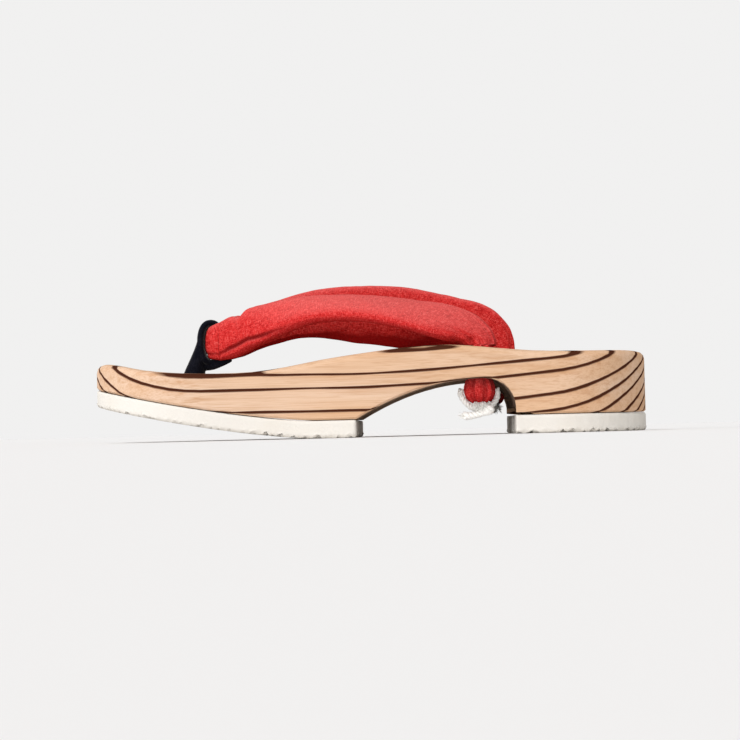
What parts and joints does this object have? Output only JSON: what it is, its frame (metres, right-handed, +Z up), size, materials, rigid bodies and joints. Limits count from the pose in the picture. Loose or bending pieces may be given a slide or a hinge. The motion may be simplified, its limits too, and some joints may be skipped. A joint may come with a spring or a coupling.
{
  "type": "geta sandal",
  "caption": "Low carved wooden geta for the left foot, with an arched underside, rubber soles, a padded V strap and a soft thong.",
  "frame": {"origin": "centre of the sandal's outline on the floor that it stands on", "axes": "+X from the toe to the heel, +Z up, +Y to the wearer's right, the big-toe side of this left sandal"},
  "size_m": [0.24, 0.095, 0.0683],
  "materials": {
    "burnt_cedar": "burnt and brushed, bare wood",
    "crepe_rubber": "matte crepe rubber",
    "red_slub_cloth": "slub linen weave",
    "black_velvet": "soft velvet",
    "cotton_cord": "undyed cotton cord"
  },
  "bodies": {
    "root": {"wooden_body": "burnt_cedar", "forefoot_sole": "crepe_rubber", "heel_sole": "crepe_rubber", "strap": "red_slub_cloth", "thong": "black_velvet", "tie_near": "cotton_cord", "tie_far": "cotton_cord", "tie_end_near": "cotton_cord", "tie_end_far": "cotton_cord"}
  },
  "joints": []
}
